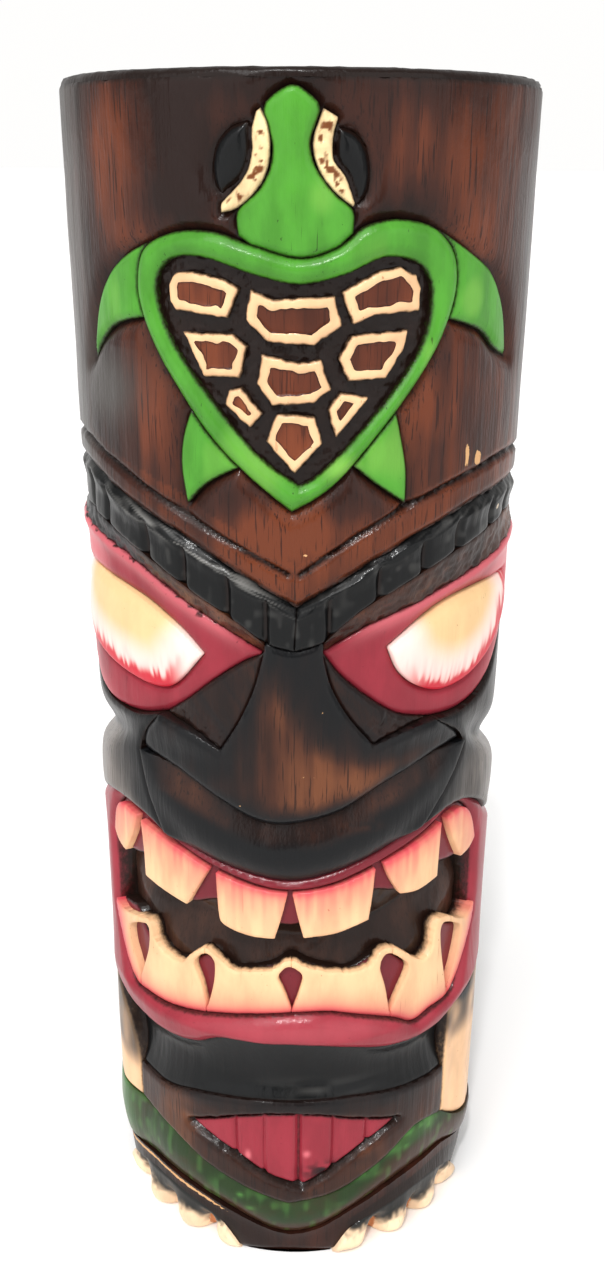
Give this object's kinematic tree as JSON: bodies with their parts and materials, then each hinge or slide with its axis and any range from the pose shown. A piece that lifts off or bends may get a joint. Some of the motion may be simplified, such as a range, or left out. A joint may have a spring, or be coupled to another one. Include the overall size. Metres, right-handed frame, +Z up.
{
  "type": "tiki mug",
  "caption": "Tall round wooden mug with a recessed steel cup, carved and painted in front with a turtle above a toothed mask face.",
  "frame": {"origin": "centre of the flat base, on the surface the mug stands on", "axes": "+Z up along the axis of the log to the open rim, -Y the way the carved face looks, +X to the viewer's right of the face"},
  "size_m": [0.0736, 0.0738, 0.2],
  "materials": {
    "stained_wood": "dark reddish-brown stain under gloss varnish",
    "green_paint": "bright green paint under gloss varnish",
    "cream_paint": "cream paint, airbrushed pink at the edges, varnished",
    "black_paint": "black paint under gloss varnish",
    "brown_stain": "brown stain shaded to black, varnished",
    "charcoal_stain": "smoky grey-brown stain, varnished",
    "crimson_paint": "crimson paint under gloss varnish",
    "olive_paint": "dark olive green paint, glossy",
    "liner_steel": "plain brushed steel"
  },
  "bodies": {
    "root": {"log_body": "stained_wood", "turtle_head": "green_paint", "front_flipper_left": "green_paint", "front_flipper_right": "green_paint", "rear_flipper_left": "green_paint", "rear_flipper_right": "green_paint", "turtle_shell_rim": "green_paint", "turtle_eyelid_left": "cream_paint", "turtle_eyelid_right": "cream_paint", "eyeball_left": "cream_paint", "eyeball_right": "cream_paint", "side_panel_left": "cream_paint", "side_panel_right": "cream_paint", "foot_left": "cream_paint", "foot_right": "cream_paint", "scute_top_left": "cream_paint", "scute_top_middle": "cream_paint", "scute_top_right": "cream_paint", "scute_middle_left": "cream_paint", "scute_middle": "cream_paint", "scute_middle_right": "cream_paint", "scute_low_left": "cream_paint", "scute_low_right": "cream_paint", "scute_tail": "cream_paint", "tooth_upper_1": "cream_paint", "tooth_upper_2": "cream_paint", "tooth_upper_3": "cream_paint", "tooth_upper_4": "cream_paint", "tooth_upper_5": "cream_paint", "tooth_upper_6": "cream_paint", "tooth_lower_1": "cream_paint", "tooth_lower_2": "cream_paint", "tooth_lower_3": "cream_paint", "tooth_lower_4": "cream_paint", "tooth_lower_5": "cream_paint", "tooth_lower_6": "cream_paint", "turtle_eye_left": "black_paint", "turtle_eye_right": "black_paint", "brow_left": "black_paint", "brow_right": "black_paint", "chin_band": "black_paint", "brow_ledge_left": "brown_stain", "brow_ledge_right": "brown_stain", "under_eye_left": "brown_stain", "under_eye_right": "brown_stain", "nose": "brown_stain", "upper_lip_roll": "brown_stain", "chin_ground": "brown_stain", "cheek_left": "charcoal_stain", "cheek_right": "charcoal_stain", "eye_socket_left": "crimson_paint", "eye_socket_right": "crimson_paint", "mouth_lips": "crimson_paint", "gum_upper": "crimson_paint", "gum_lower": "crimson_paint", "tongue_panel": "crimson_paint", "skirt_band": "olive_paint", "liner_cup": "liner_steel"}
  },
  "joints": []
}
